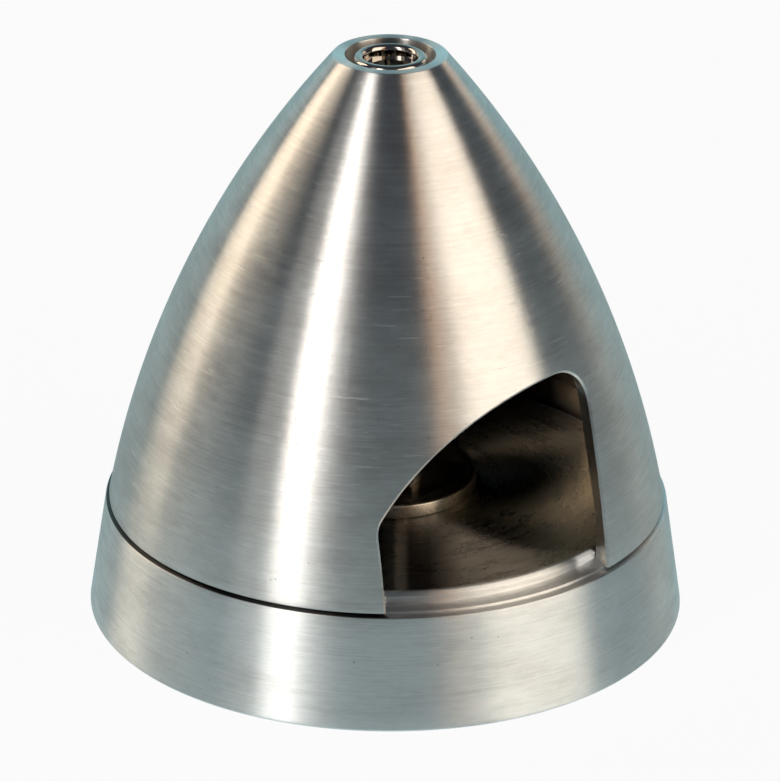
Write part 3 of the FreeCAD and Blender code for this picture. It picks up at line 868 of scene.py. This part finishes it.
# %% Collet shaft
SHAFT_SECTION = [
    (0.0, 14.5), (2.5, 14.5), (2.5, 0.8), (2.8, 0.5), (5.8, 0.5), (collet_radius(0.8), 0.8),
    (4.7, 9.1), (4.0, 9.1), (4.0, 39.8), (3.5, 40.3), (2.02, 40.3), (2.02, 30.8), (0.0, 30.8)]
SHAFT_PITCH, SHAFT_GROOVE, SHAFT_THREAD, SHAFT_TURNS = 1.0, 0.54, (11.4, 40.0), 72
ROWS_PER_PITCH = 8
SAW_CUTS, SAW_WIDTH, SAW_REACH, SAW_HEIGHT = 4, 0.8, 9.0, 8.1
SHAFT_CREASE = 24.0

shaft_points = subdivided(SHAFT_SECTION, SHAFT_PITCH / ROWS_PER_PITCH)
shaft = lathe("collet_shaft_threaded", shaft_points, SHAFT_FINISH, turns=SHAFT_TURNS,
              pitch=SHAFT_PITCH, depth=SHAFT_GROOVE, thread=SHAFT_THREAD)
outward(shaft.data)
apply_tree(shaft, slot_tree(), {
    "Count": SAW_CUTS, "Width": SAW_WIDTH * MM, "Reach": SAW_REACH * MM,
    "Length": 2 * SAW_HEIGHT * MM, "Material": SHAFT_FINISH})
smooth(shaft, SHAFT_CREASE)
print(shaft.name, len(shaft.data.polygons), "faces")

# %% [markdown]
# ## The nut and the nose screw
#
# A nut is a hexagon bar that a lathe has topped to a cone: it is exactly what a hexagonal prism
# and a turned cone have in common. The nose screw is the opposite case, a turned head with a
# hexagonal prism taken out of it. Its head here has a rounded lip and a shallow dish, and it is
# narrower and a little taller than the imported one.

# %% Nut and nose screw
NUT_TOP = 15.3
NUT_FLATS = 12.0
NUT_CORNER = NUT_FLATS / math.sqrt(3)
NUT_SHOULDER = WASHER_TOP + 1.25
NUT_TURN = math.radians(22.4)
NUT_BREAK, NUT_HOLE, NUT_TURNS = 0.3, 4.02, 144
PAST_END = 1
NUT_SECTION = [
    (5.0, WASHER_TOP), (NUT_CORNER - NUT_BREAK, WASHER_TOP), (NUT_CORNER, WASHER_TOP + NUT_BREAK),
    (NUT_CORNER, NUT_SHOULDER), (NUT_CORNER - (NUT_TOP - NUT_SHOULDER), NUT_TOP),
    (NUT_HOLE, NUT_TOP), (NUT_HOLE, WASHER_TOP), (5.0, WASHER_TOP)]
nut = lathe("propeller_nut", NUT_SECTION, NUT_FINISH, turns=NUT_TURNS)
outward(nut.data)
apply_tree(nut, hexagon_tree("Hexagon bar", "INTERSECT"), {
    "Across flats": NUT_FLATS * MM, "Bottom": (WASHER_TOP - PAST_END) * MM,
    "Top": (NUT_TOP + PAST_END) * MM, "Turn": NUT_TURN, "Material": NUT_FINISH})
smooth(nut)

HEAD_RADIUS, HEAD_TOP, LIP_ROUND = 3.12, 49.82, 0.46
DISH_FLOOR = 48.75
SOCKET_FLATS, SOCKET_DEPTH, SOCKET_TURN = 3.4, 1.6, 0.2
SCREW_TIP, SCREW_RADIUS, TIP_CHAMFER, HEAD_BREAK = 33.4, 2.0, 0.4, 0.1
SCREW_PITCH, SCREW_GROOVE, SCREW_TURNS = 0.7, 0.38, 96
SCREW_THREAD = (SCREW_TIP, HEAD_SEAT - 1.5)
LIP_STEPS = 32
ROUND_LIP = [(HEAD_RADIUS - LIP_ROUND * (1 - math.cos(a)), HEAD_TOP - LIP_ROUND * (1 - math.sin(a)))
             for a in np.linspace(0, math.pi, LIP_STEPS + 1)]
shank_section = [(0.0, SCREW_TIP), (SCREW_RADIUS - TIP_CHAMFER, SCREW_TIP),
                 (SCREW_RADIUS, SCREW_TIP + TIP_CHAMFER), (SCREW_RADIUS, HEAD_SEAT)]
head_section = [(HEAD_RADIUS - HEAD_BREAK, HEAD_SEAT), (HEAD_RADIUS, HEAD_SEAT + HEAD_BREAK),
                *ROUND_LIP, (HEAD_RADIUS - 2 * LIP_ROUND, DISH_FLOOR), (0.0, DISH_FLOOR)]
screw_points = subdivided(shank_section, SCREW_PITCH / ROWS_PER_PITCH) + head_section
screw = lathe("nose_screw_plated", screw_points, SCREW_FINISH, turns=SCREW_TURNS,
              pitch=SCREW_PITCH, depth=SCREW_GROOVE, thread=SCREW_THREAD)
outward(screw.data)
apply_tree(screw, hexagon_tree("Hexagon socket", "DIFFERENCE"), {
    "Across flats": SOCKET_FLATS * MM, "Bottom": (DISH_FLOOR - SOCKET_DEPTH) * MM,
    "Top": (HEAD_TOP + PAST_END) * MM, "Turn": SOCKET_TURN, "Material": SCREW_FINISH})
smooth(screw)
for piece in (nut, screw):
    print(piece.name, len(piece.data.polygons), "faces")

# %% [markdown]
# ## Joining the pieces to the imported model
#
# Every piece stands for one imported node, which is hidden, and rides on the only body. The table
# also lists the finish slot that the record gives each node, though nothing here uses that column.

# %% Put each piece on the body and hide the imported node it stands for
STANDS_FOR = [
    (cone, "spinner_cone", "cone_aluminium"), (backplate, "backplate", "backplate_aluminium"),
    (washer, "prop_washer", "washer_steel"), (shaft, "collet_shaft", "shaft_steel"),
    (nut, "prop_nut", "nut_steel"), (screw, "nose_screw", "screw_chrome")]
for piece, node, slot in STANDS_FOR:
    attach(piece, "root")
    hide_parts(node)
    low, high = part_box(node)
    packed_height, height = (high[2] - low[2]) / MM, piece.dimensions.z / MM
    print(node, "packed height", round(packed_height, 2), "mm, piece", round(height, 2), "mm")


# %% [markdown]
# ## Floor, lamps and camera
#
# Polished metal is only as good as what it reflects. Tall soft lamps round the spinner give the
# long streaks, and the gaps between them give the grey that makes the streaks read as metal. The
# camera sees the floor and the room as white. Metal sees a dim room, a blue-green backdrop behind
# the spinner, and a floor that is brightest just in front of it.

# %% Floor and world
FLOOR_HALF = 2
FLOOR_COLOUR = (0.74, 0.80, 0.82, 1.0)
ROOM_COLOUR = (0.047, 0.051, 0.061, 1.0)
NEAR_SHINE = (0.54, 0.74, 0.79, 1.0)
FAR_SHINE = (0.28, 0.40, 0.42, 1.0)
BACKDROP_COLOUR = (0.36, 0.60, 0.65, 1.0)
BEHIND = (-math.sin(CAMERA_AZIMUTH), math.cos(CAMERA_AZIMUTH), 0.0)
WHITE = (1.0, 1.0, 1.0, 1.0)
NEAR_START, NEAR_END, BACKDROP_SPREAD = (-0.13, -0.06), (0.02, -0.02), (0.56, 1.0)
SHINE_SHARE, WHITE_SHARE = 0.5, 0.94


def ray_mask(tree, kind):
    """1 for light paths of one kind."""
    return Wire(tree, tree.node("ShaderNodeLightPath").socket.node.outputs[kind])


def reach_behind(tree, place):
    """How far a place lies behind the shaft, as seen by the camera."""
    return tree.node("ShaderNodeVectorMath", {"operation": "DOT_PRODUCT"}, {
        0: place, 1: BEHIND}, "Value")


def make_floor():
    corners = [(x * FLOOR_HALF, y * FLOOR_HALF, 0) for x, y in ((-1, -1), (1, -1), (1, 1), (-1, 1))]
    piece = new_piece("studio_floor", corners, [(0, 1, 2, 3)])
    material, tree = finish_tree("pale_floor")
    camera_ray, glossy_ray = ray_mask(tree, "Is Camera Ray"), ray_mask(tree, "Is Glossy Ray")
    paint = tree.node("ShaderNodeBsdfDiffuse", {}, {"Color": FLOOR_COLOUR})
    depth = reach_behind(tree, tree.node("ShaderNodeTexCoord", output="Object"))
    close = between(depth, *NEAR_START) * between(depth, *NEAR_END)
    sheen = mix_colour(tree, close, FAR_SHINE, NEAR_SHINE)
    shine = tree.node("ShaderNodeEmission", {}, {"Color": sheen, "Strength": 1.0})
    white = tree.node("ShaderNodeEmission", {}, {"Color": WHITE, "Strength": 1.0})
    in_metal = tree.node("ShaderNodeMixShader", {}, {0: glossy_ray * SHINE_SHARE, 1: paint, 2: shine})
    shown = tree.node("ShaderNodeMixShader", {}, {0: camera_ray * WHITE_SHARE, 1: in_metal, 2: white})
    tree.node("ShaderNodeOutputMaterial", {}, {0: shown})
    piece.data.materials.append(material)
    piece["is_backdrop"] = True


def make_world():
    world = bpy.data.worlds.new("studio")
    world.use_nodes = True
    world.node_tree.nodes.clear()
    tree = Tree(world.node_tree)
    camera_ray = ray_mask(tree, "Is Camera Ray")
    facing = reach_behind(tree, tree.node("ShaderNodeTexCoord", output="Generated"))
    room = mix_colour(tree, between(facing, *BACKDROP_SPREAD), ROOM_COLOUR, BACKDROP_COLOUR)
    dim = tree.node("ShaderNodeBackground", {}, {"Color": room, "Strength": 1.0})
    white = tree.node("ShaderNodeBackground", {}, {"Color": WHITE, "Strength": 1.0})
    shown = tree.node("ShaderNodeMixShader", {}, {0: camera_ray, 1: dim, 2: white})
    tree.node("ShaderNodeOutputWorld", {}, {0: shown})
    scene.world = world


make_floor()
make_world()


# %% Lamps and camera
AIM = Vector((0.0, 0.0, 0.024))
LAMP_DISTANCE = 1.7
# Name, azimuth and elevation in degrees, width and height in metres, power in watts, and colour.
LAMPS = [
    ("left_warm_lamp", -116, 28, 0.60, 1.4, 5.7, (1.0, 0.82, 0.62)),
    ("left_shoulder_card", -143, 26, 0.60, 1.2, 0.70, (1.0, 0.84, 0.70)),
    ("left_narrow_lamp", -40, 28, 0.43, 1.9, 7.6, (1.0, 0.94, 0.88)),
    ("narrow_lamp_halo", -44, 28, 1.20, 1.9, 2.4, (1.0, 0.93, 0.85)),
    ("right_broad_lamp", 61, 28, 1.38, 1.9, 15.0, (1.0, 0.86, 0.70)),
    ("right_low_lamp", 136, 20, 0.60, 0.5, 0.75, (1.0, 0.66, 0.42)),
    ("warm_card", 29, 30, 0.20, 1.6, 0.60, (1.0, 0.50, 0.22)),
]
CAMERA_ELEVATION, CAMERA_ROLL = math.radians(24.1986), math.radians(0.5559)
CAMERA_PLACE = Vector((0.238, -395.98, 197.33))
LENS, SENSOR = 235.1, 36.0
CLIP_NEAR, CLIP_FAR = 0.01, 20.0


def place_lamp(name, azimuth, elevation, width, height, power, colour):
    """A soft rectangular lamp. Its azimuth is measured from the camera, to the right."""
    data = bpy.data.lights.new(name, "AREA")
    data.shape = "RECTANGLE"
    data.size, data.size_y = width, height
    data.energy, data.color = power, colour
    lamp = bpy.data.objects.new(name, data)
    turn = CAMERA_AZIMUTH + math.radians(azimuth)
    rise = math.radians(elevation)
    level = math.cos(rise)
    back = Vector((math.sin(turn) * level, -math.cos(turn) * level, math.sin(rise)))
    lamp.location = AIM + back * LAMP_DISTANCE
    lamp.rotation_euler = (-back).to_track_quat("-Z", "Y").to_euler()
    scene.collection.objects.link(lamp)


def place_camera():
    """A long lens that looks down a little, at the spinner's azimuth."""
    camera = bpy.data.objects.new("camera", bpy.data.cameras.new("camera"))
    camera.data.sensor_width, camera.data.lens = SENSOR, LENS
    camera.data.clip_start, camera.data.clip_end = CLIP_NEAR, CLIP_FAR
    around = Matrix.Rotation(CAMERA_AZIMUTH, 4, "Z")
    tilt = Matrix.Rotation(math.pi / 2 - CAMERA_ELEVATION, 4, "X")
    roll = Matrix.Rotation(CAMERA_ROLL, 4, "Z")
    camera.matrix_world = around @ Matrix.Translation(CAMERA_PLACE * MM) @ tilt @ roll
    scene.collection.objects.link(camera)
    scene.camera = camera


for lamp in LAMPS:
    place_lamp(*lamp)
place_camera()
scene.view_settings.view_transform = "Standard"

# %% Print the sizes of the imported model and of the new pieces
low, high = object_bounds()
cad_size, visual_size = cad_high - cad_low, high - low
print("CAD box", [round(v / MM, 2) for v in cad_size], "visual", [round(v / MM, 2) for v in visual_size])
